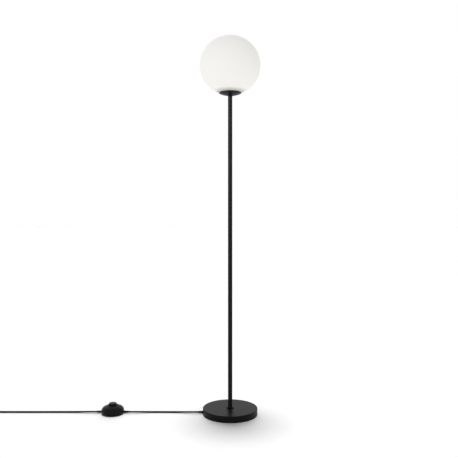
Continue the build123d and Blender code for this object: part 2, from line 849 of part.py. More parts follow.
# lower tray: dished rim, bosses for the housing screws, notches for the lead sleeves
with BuildPart() as switch_tray:
    with BuildSketch(switch_centre):
        with BuildLine():
            tray_foot = Line((0, tray_bottom), (switch_foot_radius, tray_bottom))
            tray_side = SagittaArc(tray_foot @ 1, (switch_joint_radius, cord_height), -tray_sag)
            Polyline(
                tray_side @ 1,
                (switch_joint_radius - switch_wall, cord_height),
                (switch_joint_radius - switch_wall, tray_inside + tray_corner),
                (switch_joint_radius - switch_wall - tray_corner, tray_inside),
                (0, tray_inside),
                (0, tray_bottom),
            )
        make_face()
    revolve(axis=switch_axis)
    with BuildSketch(on_floor_plan(tray_inside)):
        with PolarLocations(boss_circle, boss_count, start_angle=boss_start):
            Circle(boss_radius)
    extrude(amount=cord_height - tray_inside)
    with BuildSketch(on_floor_plan(tray_bottom)):
        with PolarLocations(boss_circle, boss_count, start_angle=boss_start):
            Circle(screw_diameter / 2 + thread_gap)
    extrude(amount=cord_height - tray_bottom, mode=Mode.SUBTRACT)
    with BuildSketch(Plane.YZ.offset(-switch_distance - switch_radius)):
        with Locations((0, cord_height)):
            Circle(bushing_neck_radius + thread_gap)
    extrude(amount=2 * switch_radius, mode=Mode.SUBTRACT)
switch_tray.part.label = "switch_tray"
export_step(switch_tray.part, "parts/switch_tray.step")


def dome_profile(inset, bottom, crown):
    """Half section of the switch's dome, drawn in by inset, down to a level."""
    arc_radius = shoulder_radius - inset
    shoulder_end = (shoulder_centre + arc_radius * cos(turn), switch_side_top + arc_radius * sin(turn))
    with BuildLine() as profile:
        side = Line((switch_joint_radius - inset, bottom), (shoulder_centre + arc_radius, switch_side_top))
        shoulder = TangentArc(side @ 1, shoulder_end, tangent=(0, 1))
        top = TangentArc(shoulder @ 1, (collar_outer_radius, crown), tangent=shoulder % 1)
        Polyline(top @ 1, (0, crown), (0, bottom), side @ 0)
    return profile


# upper dome: turned shell, a raised collar round the button, bosses under it for the screws
with BuildPart() as switch_hollow:
    with BuildSketch(switch_centre):
        add(dome_profile(switch_wall, cord_height, crown_height - switch_wall).line)
        make_face()
    revolve(axis=switch_axis)
    with BuildSketch(on_floor_plan(cord_height)):
        with PolarLocations(boss_circle, boss_count, start_angle=boss_start):
            Circle(boss_radius)
    extrude(amount=crown_height, mode=Mode.SUBTRACT)

with BuildPart() as switch_cover:
    with BuildSketch(switch_centre):
        add(dome_profile(0, cord_height, crown_height).line)
        make_face()
    revolve(axis=switch_axis)
    with BuildSketch(on_floor_plan(crown_height)):
        Circle(collar_outer_radius)
    extrude(amount=collar_top - crown_height)
    fillet(switch_cover.faces().sort_by(Axis.Z)[-1].edges(), (collar_top - crown_height) / 2)
    add(switch_hollow.part, mode=Mode.SUBTRACT)
    with BuildSketch(on_floor_plan(collar_top - collar_thickness)):
        Circle(collar_outer_radius - switch_wall)
    extrude(amount=-collar_thickness, mode=Mode.SUBTRACT)
    with BuildSketch(on_floor_plan(collar_top)):
        Circle(button_radius + button_gap)
    extrude(amount=-2 * collar_thickness, mode=Mode.SUBTRACT)
    with BuildSketch(on_floor_plan(cord_height)):
        with PolarLocations(boss_circle, boss_count, start_angle=boss_start):
            Circle(screw_diameter / 2 + thread_gap)
    extrude(amount=switch_side_top, mode=Mode.SUBTRACT)
    with BuildSketch(Plane.YZ.offset(-switch_distance - switch_radius)):
        with Locations((0, cord_height)):
            Circle(bushing_neck_radius + thread_gap)
    extrude(amount=2 * switch_radius, mode=Mode.SUBTRACT)
switch_cover.part.label = "switch_cover"
export_step(switch_cover.part, "parts/switch_cover.step")

with BuildPart() as switch_screws:
    with BuildSketch(on_floor_plan(tray_bottom)):
        with PolarLocations(boss_circle, boss_count, start_angle=boss_start):
            Circle(screw_diameter / 2)
    extrude(amount=cord_height + switch_side_top - tray_bottom - seat_gap)
switch_screws.part.label = "switch_screws"
export_step(switch_screws.part, "parts/switch_screws.step")

# button: hollow cap with a retaining flange under the collar and a stem to the switch block
flange_top = collar_top - collar_thickness - seat_gap
block_top = tray_inside + block_height
guide_top = block_top + guide_height
button_inside = button_height - button_crown
with BuildPart() as switch_button:
    with BuildSketch(on_floor_plan(flange_top - button_flange_thickness)):
        Circle(button_radius)
    extrude(amount=button_height - flange_top + button_flange_thickness)
    fillet(switch_button.faces().sort_by(Axis.Z)[-1].edges(), button_round)
    with BuildSketch(on_floor_plan(flange_top - button_flange_thickness)):
        Circle(button_radius + button_flange)
    extrude(amount=button_flange_thickness)
    with BuildSketch(on_floor_plan(flange_top - button_flange_thickness)):
        Circle(button_radius - button_wall)
    extrude(amount=button_inside - flange_top + button_flange_thickness, mode=Mode.SUBTRACT)
    with BuildSketch(on_floor_plan(button_inside)):
        Circle(stem_radius)
    extrude(amount=-(button_inside - guide_top + guide_height - button_travel - seat_gap))
switch_button.part.label = "switch_button"
export_step(switch_button.part, "parts/switch_button.step")

# push-push switch block on the tray, with the bore that guides the button's stem
with BuildPart() as switch_block:
    with BuildSketch(on_floor_plan(tray_inside)):
        RectangleRounded(block_length, block_width, block_corner)
    extrude(amount=block_height)
    with BuildSketch(on_floor_plan(block_top)):
        Circle(guide_radius)
    extrude(amount=guide_height)
    with BuildSketch(on_floor_plan(guide_top)):
        Circle(stem_radius + thread_gap)
    extrude(amount=-guide_height, mode=Mode.SUBTRACT)
switch_block.part.label = "switch_block"
export_step(switch_block.part, "parts/switch_block.step")

# return spring between the block and the button's underside, one wire in quarter turns
spring_bottom = block_top + return_wire / 2
spring_top = button_inside - return_wire / 2
quarter_rise = (spring_top - spring_bottom) / (4 * return_turns)
rise_angle = atan2(quarter_rise, return_radius * pi / 2)


def spring_point(quarter):
    """Point on the return spring's centre line, in quarter turns from its foot."""
    angle = quarter * pi / 2
    x = -switch_distance + return_radius * cos(angle)
    return Vector(x, return_radius * sin(angle), spring_bottom + quarter * quarter_rise)


def spring_way(quarter):
    """Direction of the return spring's wire at that point."""
    angle = quarter * pi / 2
    flat = cos(rise_angle)
    return Vector(-flat * sin(angle), flat * cos(angle), sin(rise_angle))


with BuildLine() as spring_line:
    for quarter in range(4 * return_turns):
        biarc(spring_point(quarter), spring_way(quarter), spring_point(quarter + 1), spring_way(quarter + 1))
return_spring = tube_along(spring_line.wires()[0], return_wire / 2)
return_spring.part.label = "switch_spring"
export_step(return_spring.part, "parts/switch_spring.step")

# sleeves, clamps, lead ends and cores: the same on both sides of the switch
sleeve_outside = switch_radius + thread_gap
tray_flat = switch_joint_radius - switch_wall - tray_corner
sleeve_inside = sqrt(tray_flat**2 - bushing_flange_radius**2) - seat_gap
with BuildPart() as switch_sleeves:
    for side in (-1, 1):
        outside = -switch_distance + side * sleeve_outside
        add(lead_sleeve(outside, -switch_distance + side * sleeve_inside, side).part)
    # the flanges stand on the tray's floor with a flat
    with BuildSketch(on_floor_plan(tray_inside + thread_gap)):
        Circle(switch_radius)
    extrude(amount=-tray_inside, mode=Mode.SUBTRACT)
switch_sleeves.part.label = "switch_sleeves"
export_step(switch_sleeves.part, "parts/switch_sleeves.step")

sheath_stop = switch_clamp_distance - clamp_width
switch_right_nose = -switch_distance + sleeve_outside + bushing_nose
switch_left_nose = -switch_distance - sleeve_outside - bushing_nose
with BuildPart() as switch_lead_ends:
    add(straight_cord(-switch_distance + sheath_stop, switch_right_nose).part)
    add(straight_cord(switch_left_nose, -switch_distance - sheath_stop).part)
switch_lead_ends.part.label = "switch_lead_ends"
export_step(switch_lead_ends.part, "parts/switch_lead_ends.step")

clamp_over_lead = cord_height + cord_radius
with BuildPart() as switch_clamps:
    for side in (-1, 1):
        add(saddle_clamp(-switch_distance + side * switch_clamp_distance, clamp_over_lead).part)
switch_clamps.part.label = "switch_lead_clamps"
export_step(switch_clamps.part, "parts/switch_lead_clamps.step")

with BuildPart() as switch_clamp_screws:
    for side in (-1, 1):
        with BuildSketch(Plane.XY.offset(tray_inside)):
            with Locations(*clamp_holes(-switch_distance + side * switch_clamp_distance)):
                Circle(screw_diameter / 2)
        extrude(amount=clamp_over_lead + clamp_thickness - tray_inside)
        with BuildSketch(Plane.XY.offset(clamp_over_lead + clamp_thickness)):
            with Locations(*clamp_holes(-switch_distance + side * switch_clamp_distance)):
                Circle(screw_diameter)
        extrude(amount=screw_diameter / 2)
switch_clamp_screws.part.label = "switch_clamp_screws"
export_step(switch_clamp_screws.part, "parts/switch_clamp_screws.step")

with BuildPart() as switch_cores:
    for side in (-1, 1):
        for row in (-1, 1):
            with BuildSketch(Plane.YZ.offset(-switch_distance + side * sheath_stop)):
                with Locations((row * core_split, cord_height)):
                    Circle(core_diameter / 2)
            extrude(amount=-side * (sheath_stop - block_length / 2))
switch_cores.part.label = "switch_cores"
export_step(switch_cores.part, "parts/switch_cores.step")

# ---------------------------------------------------------------- lead outside the lamp
# from the base down to the floor, along it in a slight bow, and up to the foot switch
base_nose = -base_radius - bushing_nose
switch_lead_points = [
    (lead_joint, 0, cord_height),
    (base_nose - nose_run, 0, cord_height),
    (base_nose - nose_run - drop_run, lead_sway, cord_radius + floor_clear),
    (switch_right_nose + nose_run + drop_run, lead_sway + floor_clear, cord_radius),
    (switch_right_nose + nose_run, 0, cord_height),
    (switch_right_nose, 0, cord_height),
]
switch_lead = cord_along(switch_lead_points, "lead_to_switch")
switch_lead.part.label = "lead_to_switch"
export_step(switch_lead.part, "parts/lead_to_switch.step")

coil_pitch = cord_diameter + coil_gap
lower_layer = cord_radius + coil_lift
upper_layer = lower_layer + coil_pitch
coil_inner = coil_radius - coil_pitch * (turns_inward + turns_outward) / 4
outer_start = coil_inner + coil_pitch * turns_inward
outer_end = coil_inner + coil_pitch * turns_outward
coil_y = coil_lane + outer_start
total_turns = turns_inward + 0.5 + turns_outward

# from the switch down to the floor, straight along it, and up to the coil's first turn
drop_start = switch_left_nose - nose_run
coil_entry = coil_x + coil_leg
plug_lead_points = [
    (switch_left_nose, 0, cord_height),
    (drop_start, 0, cord_height),
    (drop_start - drop_run, lead_sway, cord_radius + floor_clear),
    (coil_x + floor_end, coil_lane + floor_clear, cord_radius),
    (coil_x + rise_end, coil_lane, lower_layer),
    (coil_entry, coil_lane, lower_layer),
]
plug_lead = cord_along(plug_lead_points, "lead_to_coil")
plug_lead.part.label = "lead_to_coil"
export_step(plug_lead.part, "parts/lead_to_coil.step")


def coil_point(turns):
    """Point on the coil's centre line: in along the lower layer, back out along the upper one."""
    if turns <= turns_inward:
        radius = outer_start - coil_pitch * turns
        height = lower_layer
    elif turns <= turns_inward + 0.5:
        share = (turns - turns_inward) * 2
        radius = coil_inner - turn_back_dip * sin(pi * share)
        height = lower_layer + coil_pitch * share * share * (3 - 2 * share)
    else:
        radius = coil_inner + coil_pitch * (turns - turns_inward - 0.5)
        height = upper_layer
    angle = -pi / 2 - 2 * pi * turns
    return Vector(coil_x + radius * cos(angle), coil_y + radius * sin(angle), height)


def coil_way(turns):
    """Direction of the cord at that point; square to the radius at both ends."""
    step = 0.01
    angle = -pi / 2 - 2 * pi * turns
    if turns in (0, total_turns):
        return Vector(sin(angle), -cos(angle), 0)
    return (coil_point(turns + step) - coil_point(turns - step)).normalized()


quarters = int(4 * total_turns)
with BuildLine() as coil_line:
    Line((coil_entry, coil_lane, lower_layer), coil_point(0))
    for quarter in range(quarters):
        here = quarter / 4
        there = here + 0.25
        biarc(coil_point(here), coil_way(here), coil_point(there), coil_way(there))
    coil_end = coil_point(total_turns)
    coil_end_way = coil_way(total_turns)
    Line(coil_end, coil_end + coil_end_way * coil_leg)
coil_wire = coil_line.wires()[0]
lead_coil = tube_along(coil_wire, cord_radius)
lead_coil.part.label = "lead_coil"
export_step(lead_coil.part, "parts/lead_coil.step")

# least gap of the coil to itself, on points along its line
coil_samples = 300
samples = [coil_wire.position_at(i / coil_samples) for i in range(coil_samples + 1)]
half_turn_samples = int(coil_samples / total_turns / 2)
self_gap = min(
    (samples[j] - samples[i]).length - cord_diameter
    for i in range(coil_samples)
    for j in range(i + half_turn_samples, coil_samples + 1)
)
coil_ratio = lead_coil.part.volume / (pi * cord_radius**2 * coil_wire.length)
print(f"lead_coil: length {coil_wire.length:.1f}, least gap {self_gap:.2f}, volume ratio {coil_ratio:.4f}")

# tail from the coil's last turn down to the plug
plug_height = plug_thickness / 2
tail_start = coil_end + coil_end_way * coil_leg
tail_x = tail_start.X
tail_y = tail_start.Y
drop_y = tail_y + tail_level
plug_lane_y = drop_y + tail_drop
relief_start = plug_lane_y + tail_end
tail_points = [
    (tail_x, tail_y, upper_layer),
    (tail_x, drop_y, upper_layer),
    (tail_x, plug_lane_y, plug_height),
    (tail_x, relief_start, plug_height),
]
lead_tail = cord_along(tail_points, "lead_tail")
lead_tail.part.label = "lead_tail"
export_step(lead_tail.part, "parts/lead_tail.step")

# strap round all the turns at one place
tie_inner = coil_inner - turn_back_dip - cord_radius - tie_gap
tie_outer = outer_end + cord_radius + tie_gap
tie_low = tie_thickness
tie_high = upper_layer + cord_radius + tie_gap
tie_plane = Plane(
    origin=(coil_x, coil_y, 0),
    x_dir=(cos(radians(tie_angle)), sin(radians(tie_angle)), 0),
    z_dir=(sin(radians(tie_angle)), -cos(radians(tie_angle)), 0),
)
with BuildPart() as coil_tie:
    with BuildSketch(tie_plane):
        with Locations(((tie_inner + tie_outer) / 2, (tie_low + tie_high) / 2)):
            tie_span = tie_outer - tie_inner
            tie_rise = tie_high - tie_low
            grow = 2 * tie_thickness
            RectangleRounded(tie_span + grow, tie_rise + grow, cord_radius + tie_thickness)
            RectangleRounded(tie_span, tie_rise, cord_radius, mode=Mode.SUBTRACT)
    extrude(amount=tie_width / 2, both=True)
coil_tie.part.label = "coil_tie"
export_step(coil_tie.part, "parts/coil_tie.step")

# ---------------------------------------------------------------- plug
body_start = relief_start + relief_length
pin_face = body_start + plug_length


def across_plug(y):
    """Upright plane across the plug, facing along it."""
    return Plane(origin=(tail_x, y, plug_height), x_dir=(-1, 0, 0), z_dir=(0, 1, 0))


with BuildPart() as plug_body:
    with BuildSketch(across_plug(body_start)):
        RectangleRounded(plug_neck_width, plug_neck_thickness, plug_neck_corner)
    with BuildSketch(across_plug(body_start + plug_waist)):
        RectangleRounded(plug_waist_width, plug_waist_thickness, plug_corner)
    with BuildSketch(across_plug(pin_face)):
        RectangleRounded(plug_width, plug_thickness, plug_corner)
    loft(ruled=True)
    # strain relief: a tapered boot with grooves that let it bend
    with BuildSketch(across_plug(relief_start)):
        Circle(relief_end_radius)
    with BuildSketch(across_plug(body_start)):
        Circle(relief_start_radius)
    loft()
    groove_pitch = relief_length / (relief_grooves + 2)
    for groove in range(relief_grooves):
        with BuildSketch(across_plug(relief_start + (groove + 1) * groove_pitch)):
            Circle(relief_start_radius + 1)
            Circle(relief_end_radius, mode=Mode.SUBTRACT)
        extrude(amount=groove_pitch / 3, mode=Mode.SUBTRACT)
    with BuildSketch(across_plug(pin_face)):
        with Locations((-pin_spacing / 2, 0), (pin_spacing / 2, 0)):
            Circle(pin_core_radius + thread_gap)
    extrude(amount=-plug_length / 3, mode=Mode.SUBTRACT)
plug_body.part.label = "plug_body"
export_step(plug_body.part, "parts/plug_body.step")

with BuildPart() as plug_pins:
    with BuildSketch(across_plug(pin_face + pin_sleeve_length)):
        with Locations((-pin_spacing / 2, 0), (pin_spacing / 2, 0)):
            Circle(pin_radius)
    extrude(amount=pin_length - pin_sleeve_length)
    fillet(plug_pins.faces().group_by(Axis.Y)[-1].edges(), pin_tip_round)
    with BuildSketch(across_plug(pin_face + pin_sleeve_length)):
        with Locations((-pin_spacing / 2, 0), (pin_spacing / 2, 0)):
            Circle(pin_core_radius)
    extrude(amount=-pin_sleeve_length - plug_length / 3)
plug_pins.part.label = "plug_pins"
export_step(plug_pins.part, "parts/plug_pins.step")

with BuildPart() as pin_sleeves:
    with BuildSketch(across_plug(pin_face)):
        with Locations((-pin_spacing / 2, 0), (pin_spacing / 2, 0)):
            Circle(pin_radius)
            Circle(pin_core_radius + thread_gap, mode=Mode.SUBTRACT)
    extrude(amount=pin_sleeve_length)
pin_sleeves.part.label = "pin_sleeves"
export_step(pin_sleeves.part, "parts/pin_sleeves.step")

print(f"globe centre {globe_centre:.2f}, top {globe_centre + globe_half_height:.2f}, dish rim {dish_rim}")
print(f"plug pin tips at x {tail_x:.2f}, y {pin_face + pin_length:.2f}, height {plug_height}")
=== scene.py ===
import math

import bmesh
import bpy
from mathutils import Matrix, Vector


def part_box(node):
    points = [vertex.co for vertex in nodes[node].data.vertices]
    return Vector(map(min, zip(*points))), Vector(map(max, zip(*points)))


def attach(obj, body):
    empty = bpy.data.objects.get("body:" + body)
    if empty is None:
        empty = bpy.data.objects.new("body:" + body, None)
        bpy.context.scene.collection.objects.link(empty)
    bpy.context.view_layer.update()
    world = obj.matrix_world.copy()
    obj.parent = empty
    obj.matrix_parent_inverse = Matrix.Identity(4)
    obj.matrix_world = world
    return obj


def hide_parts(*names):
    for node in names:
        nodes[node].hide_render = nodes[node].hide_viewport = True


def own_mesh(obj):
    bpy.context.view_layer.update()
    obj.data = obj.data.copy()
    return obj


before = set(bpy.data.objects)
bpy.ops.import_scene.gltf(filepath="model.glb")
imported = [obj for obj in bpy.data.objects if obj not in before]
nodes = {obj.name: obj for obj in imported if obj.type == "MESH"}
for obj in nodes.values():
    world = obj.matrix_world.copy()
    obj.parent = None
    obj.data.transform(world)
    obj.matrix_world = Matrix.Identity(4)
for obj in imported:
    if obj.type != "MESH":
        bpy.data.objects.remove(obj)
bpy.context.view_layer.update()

# camera and light, set to the photograph's viewing angle
view = {
    "lens": 45.2,          # 575 px on a 458 px frame
    "sensor": 36,
    "distance": 2.372,
    "height": 0.787,
    "turn": 0.5,           # degrees, the lead's far end lies slightly further away
    "aside": -0.0047,
    "shiftY": -0.0131,
}


def makeCamera():
    turn = math.radians(view["turn"])
    ahead = Vector((-math.sin(turn), math.cos(turn), 0))
    right = Vector((math.cos(turn), math.sin(turn), 0))
    data = bpy.data.cameras.new("photoCamera")
    data.lens = view["lens"]
    data.sensor_width = view["sensor"]
    data.shift_y = view["shiftY"]
    camera = bpy.data.objects.new("photoCamera", data)
    camera.location = right * view["aside"] - ahead * view["distance"]
    camera.location.z = view["height"]
    camera.rotation_euler = (math.pi / 2, 0, turn)
    bpy.context.scene.collection.objects.link(camera)
    bpy.context.scene.camera = camera


makeCamera()
print("camera placed")

studio = {
    "front": 1.13,         # strength of the soft walls to the left, low and in front
    "back": 0.58,          # and to the right, overhead and behind
    "brightWay": (-0.70, -0.60, -0.39),
    "floorBounce": 1.02,
    "floorTone": 0.25,     # the floor that the camera sees is lit mostly by its own suns
    "floorReach": 120,     # far enough that no grey horizon shows
    "floorDrop": 0.0003,   # just under the pads, so that no two faces share a place
    "leftStrip": {"at": (-1.5, -1.3, 1.75), "size": (0.35, 1.3), "power": 60},
    "rightStrip": {"at": (1.6, -1.1, 1.75), "size": (0.3, 1.2), "power": 26},
}
floorSuns = {
    # lean is the way a shadow falls per metre of height, spread in degrees sets how soft it is
    "overSun": {"strength": 8.4, "spread": 11.5, "lean": (0.008, -0.080)},
    "backSun": {"strength": 4.6, "spread": 45.0, "lean": (0.10, -2.1)},
}


def addLight(name, kind, energy, at, aim):
    data = bpy.data.lights.new(name, kind)
    data.energy = energy
    light = bpy.data.objects.new(name, data)
    light.location = at
    light.rotation_mode = "QUATERNION"
    light.rotation_quaternion = (Vector(aim) - Vector(at)).to_track_quat("-Z", "Y")
    bpy.context.scene.collection.objects.link(light)
    return light


def seenRays(tree):
    # 1 for rays that see the background: camera, glossy and transmission
    path = tree.nodes.new("ShaderNodeLightPath")
    first = tree.nodes.new("ShaderNodeMath")
    first.operation = "MAXIMUM"
    second = tree.nodes.new("ShaderNodeMath")
    second.operation = "MAXIMUM"
    tree.links.new(path.outputs["Is Camera Ray"], first.inputs[0])
    tree.links.new(path.outputs["Is Glossy Ray"], first.inputs[1])
    tree.links.new(first.outputs[0], second.inputs[0])
    tree.links.new(path.outputs["Is Transmission Ray"], second.inputs[1])
    return second.outputs[0]


def makeWorld():
    world = bpy.data.worlds.new("whiteStudio")
    bpy.context.scene.world = world
    world.use_nodes = True
    tree = world.node_tree
    tree.nodes.clear()
    out = tree.nodes.new("ShaderNodeOutputWorld")
    mix = tree.nodes.new("ShaderNodeMixShader")
    walls = tree.nodes.new("ShaderNodeBackground")
    way = tree.nodes.new("ShaderNodeVectorMath")
    way.operation = "DOT_PRODUCT"
    way.inputs[1].default_value = studio["brightWay"]
    tree.links.new(tree.nodes.new("ShaderNodeTexCoord").outputs["Generated"], way.inputs[0])
    spread = tree.nodes.new("ShaderNodeMapRange")
    ends = {"From Min": -1, "From Max": 1, "To Min": studio["back"], "To Max": studio["front"]}
    for label, value in ends.items():
        spread.inputs[label].default_value = value
    tree.links.new(way.outputs["Value"], spread.inputs["Value"])
    tree.links.new(spread.outputs["Result"], walls.inputs["Strength"])
    walls.inputs["Color"].default_value = (1, 1, 1, 1)
    white = tree.nodes.new("ShaderNodeBackground")
    white.inputs["Color"].default_value = (1, 1, 1, 1)
    white.inputs["Strength"].default_value = 1
    tree.links.new(seenRays(tree), mix.inputs[0])
    tree.links.new(walls.outputs[0], mix.inputs[1])
    tree.links.new(white.outputs[0], mix.inputs[2])
    tree.links.new(mix.outputs[0], out.inputs[0])


def makeFloor():
    paper = bpy.data.materials.new("studioFloor")
    paper.use_nodes = True
    tree = paper.node_tree
    tree.nodes.clear()
    out = tree.nodes.new("ShaderNodeOutputMaterial")
    mix = tree.nodes.new("ShaderNodeMixShader")
    bounce = tree.nodes.new("ShaderNodeEmission")
    bounce.inputs["Strength"].default_value = studio["floorBounce"]
    shown = tree.nodes.new("ShaderNodeBsdfDiffuse")
    tone = studio["floorTone"]
    shown.inputs["Color"].default_value = (tone, tone, tone, 1)
    tree.links.new(seenRays(tree), mix.inputs[0])
    tree.links.new(bounce.outputs[0], mix.inputs[1])
    tree.links.new(shown.outputs[0], mix.inputs[2])
    tree.links.new(mix.outputs[0], out.inputs[0])
    reach = studio["floorReach"]
    corners = [(-reach, -reach, 0), (reach, -reach, 0), (reach, reach, 0), (-reach, reach, 0)]
    mesh = bpy.data.meshes.new("studioFloor")
    mesh.from_pydata(corners, [], [(0, 1, 2, 3)])
    mesh.materials.append(paper)
    floor = bpy.data.objects.new("studioFloor", mesh)
    floor.location.z = -studio["floorDrop"]
    bpy.context.scene.collection.objects.link(floor)
    return floor


def makeLights(floor):
    # these suns draw the shadow and light nothing else
    onlyFloor = bpy.data.collections.new("onlyFloor")
    onlyFloor.objects.link(floor)
    for name, setup in floorSuns.items():
        lean = setup["lean"]
        sun = addLight(name, "SUN", setup["strength"], (-lean[0], -lean[1], 1), (0, 0, 0))
        sun.data.angle = math.radians(setup["spread"])
        sun.light_linking.receiver_collection = onlyFloor
    # narrow gleams on the pole and the dish
    onlyPole = bpy.data.collections.new("onlyPole")
    for name in ("pole_lower", "pole_middle", "pole_upper", "globe_dish"):
        onlyPole.objects.link(nodes[name])
    for name in ("leftStrip", "rightStrip"):
        setup = studio[name]
        strip = addLight(name, "AREA", setup["power"], setup["at"], (0, 0, setup["at"][2] - 0.1))
        strip.data.shape = "RECTANGLE"
        strip.data.size, strip.data.size_y = setup["size"]
        strip.light_linking.receiver_collection = onlyPole


bpy.context.scene.view_settings.view_transform = "Standard"
makeWorld()
makeLights(makeFloor())
print("studio built")


def newGroup(name, inputs, outputs):
    tree = bpy.data.node_groups.new(name, "ShaderNodeTree")
    for label, kind, value in inputs:
        socket = tree.interface.new_socket(label, in_out="INPUT", socket_type=kind)
        if value is not None:
            socket.default_value = value
    for label, kind in outputs:
        tree.interface.new_socket(label, in_out="OUTPUT", socket_type=kind)
    return tree, tree.nodes.new("NodeGroupInput"), tree.nodes.new("NodeGroupOutput")


def mathNode(tree, operation, a, b=None, clamp=False):
    node = tree.nodes.new("ShaderNodeMath")
    node.operation = operation
    node.use_clamp = clamp
    for index, value in enumerate((a, b)):
        if value is None:
            continue
        if isinstance(value, (int, float)):
            node.inputs[index].default_value = value
        else:
            tree.links.new(value, node.inputs[index])
    return node.outputs[0]


def noiseNode(tree, vector, scale, detail=3.0, roughness=0.5):
    node = tree.nodes.new("ShaderNodeTexNoise")
    node.inputs["Detail"].default_value = detail
    node.inputs["Roughness"].default_value = roughness
    tree.links.new(vector, node.inputs["Vector"])
    if isinstance(scale, (int, float)):
        node.inputs["Scale"].default_value = scale
    else:
        tree.links.new(scale, node.inputs["Scale"])
    return node.outputs["Fac"]


def mixColour(tree, factor, a, b, blend="MIX"):
    node = tree.nodes.new("ShaderNodeMix")
    node.data_type = "RGBA"
    node.blend_type = blend
    for socket, value in ((node.inputs[0], factor), (node.inputs[6], a), (node.inputs[7], b)):
        if isinstance(value, (int, float, tuple)):
            socket.default_value = value
        else:
            tree.links.new(value, socket)
    return node.outputs[2]


mottle = {"scale": 14.0, "detail": 4.0, "roughness": 0.6}  # the slow change of tone and gloss
dust = {
    "patchScale": 22.0,
    "speckScale": 700.0,
    "speckCut": 0.71,      # noise above this is a speck
    "upOnly": 3.0,         # how sharply it keeps to faces that look up
}


def makeGrainGroup():
    # fine skin of a coating or moulding: a height and a slow change of gloss
    tree, given, result = newGroup(
        "surfaceGrain",
        [
            ("Vector", "NodeSocketVector", None),
            ("Grain Scale", "NodeSocketFloat", 900.0),
            ("Gloss Change", "NodeSocketFloat", 0.06),
            ("Roughness", "NodeSocketFloat", 0.4),
        ],
        [("Height", "NodeSocketFloat"), ("Roughness", "NodeSocketFloat"), ("Mottle", "NodeSocketFloat")],
    )
    fine = noiseNode(tree, given.outputs["Vector"], given.outputs["Grain Scale"], 2.0, 0.6)
    slow = noiseNode(tree, given.outputs["Vector"], mottle["scale"], mottle["detail"], mottle["roughness"])
    centred = mathNode(tree, "SUBTRACT", slow, 0.5)
    change = mathNode(tree, "MULTIPLY", centred, given.outputs["Gloss Change"])
    rough = mathNode(tree, "ADD", given.outputs["Roughness"], change, clamp=True)
    tree.links.new(fine, result.inputs["Height"])
    tree.links.new(rough, result.inputs["Roughness"])
    tree.links.new(slow, result.inputs["Mottle"])
    return tree


def makeDustGroup():
    # thin dust that settles on faces that look up, in soft patches and specks
    tree, given, result = newGroup(
        "settledDust",
        [
            ("Vector", "NodeSocketVector", None),
            ("Colour", "NodeSocketColor", (0.02, 0.02, 0.02, 1)),
            ("Dust Colour", "NodeSocketColor", (0.35, 0.34, 0.32, 1)),
            ("Amount", "NodeSocketFloat", 0.05),
        ],
        [("Colour", "NodeSocketColor"), ("Dust", "NodeSocketFloat")],
    )
    geometry = tree.nodes.new("ShaderNodeNewGeometry")
    split = tree.nodes.new("ShaderNodeSeparateXYZ")
    tree.links.new(geometry.outputs["Normal"], split.inputs[0])
    up = mathNode(tree, "MAXIMUM", split.outputs["Z"], 0.0)
    facing = mathNode(tree, "POWER", up, dust["upOnly"])
    patches = noiseNode(tree, given.outputs["Vector"], dust["patchScale"], 5.0, 0.65)
    grit = noiseNode(tree, given.outputs["Vector"], dust["speckScale"], 1.0)
    specks = mathNode(tree, "GREATER_THAN", grit, dust["speckCut"])
    both = mathNode(tree, "ADD", patches, specks)
    settled = mathNode(tree, "MULTIPLY", both, facing)
    amount = mathNode(tree, "MULTIPLY", settled, given.outputs["Amount"], clamp=True)
    colour = mixColour(tree, amount, given.outputs["Colour"], given.outputs["Dust Colour"])
    tree.links.new(colour, result.inputs["Colour"])
    tree.links.new(amount, result.inputs["Dust"])
    return tree


grainGroup = makeGrainGroup()
dustGroup = makeDustGroup()


def placeGroup(tree, group, values, links):
    node = tree.nodes.new("ShaderNodeGroup")
    node.node_tree = group
    for label, value in values.items():
        node.inputs[label].default_value = value
    for label, source in links.items():
        tree.links.new(source, node.inputs[label])
    return node


def startMaterial(name):
    material = bpy.data.materials.new(name)
    material.use_nodes = True
    tree = material.node_tree
    shader = tree.nodes["Principled BSDF"]
    place = tree.nodes.new("ShaderNodeTexCoord").outputs["Object"]
    return material, tree, shader, place


def bumpInto(tree, shader, height, distance, strength=1.0):
    bump = tree.nodes.new("ShaderNodeBump")
    bump.inputs["Distance"].default_value = distance
    bump.inputs["Strength"].default_value = strength
    tree.links.new(height, bump.inputs["Height"])
    tree.links.new(bump.outputs[0], shader.inputs["Normal"])


def coatedMaterial(name, finish):
    # coating, moulding or bare metal with grain, a slow change of tone and a little dust
    material, tree, shader, place = startMaterial(name)
    grain = placeGroup(
        tree,
        grainGroup,
        {"Grain Scale": finish["grain"], "Roughness": finish["roughness"]},
        {"Vector": place},
    )
    colour = (*finish["colour"], 1)
    darker = (*[c * finish.get("mottle", 0.8) for c in finish["colour"]], 1)
    tone = mixColour(tree, grain.outputs["Mottle"], darker, colour)
    dusty = placeGroup(tree, dustGroup, {"Amount": finish.get("dust", 0.0)}, {"Vector": place, "Colour": tone})
    tree.links.new(dusty.outputs["Colour"], shader.inputs["Base Color"])
    tree.links.new(grain.outputs["Roughness"], shader.inputs["Roughness"])
    bumpInto(tree, shader, grain.outputs["Height"], finish["bump"])
    shader.inputs["Metallic"].default_value = finish.get("metallic", 0.0)
    shader.inputs["Specular IOR Level"].default_value = finish.get("specular", 0.5)
    return material


